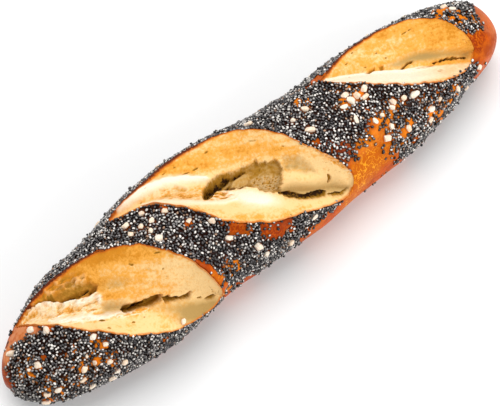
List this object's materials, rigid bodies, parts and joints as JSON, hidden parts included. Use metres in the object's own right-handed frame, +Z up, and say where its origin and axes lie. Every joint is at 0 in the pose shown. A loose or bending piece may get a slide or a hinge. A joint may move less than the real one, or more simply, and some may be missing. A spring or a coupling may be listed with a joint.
{
  "type": "pretzel bread stick",
  "caption": "Baked pretzel bread stick with slanting opened gashes, pale crumb inside them, and a browned crust covered in poppy seeds and coarse salt.",
  "frame": {"origin": "middle of the flat underside that the stick was baked on and lies on", "axes": "+X along the stick towards its slim end, +Y across it towards the upper rims of the gashes, +Z up"},
  "size_m": [0.205, 0.0488, 0.0375],
  "materials": {
    "crust": "browned lye crust, orange brown to red brown, half glossy, fine wrinkles",
    "crumb": "soft open crumb, cream to pale gold, smooth stretched skin with torn porous places",
    "poppy_seed": "dry poppy seeds, blue black to slate grey, faint sheen",
    "salt": "coarse pretzel salt, chalky white with slightly clear edges"
  },
  "bodies": {
    "root": {"bread_stick": "crust"}
  },
  "joints": []
}
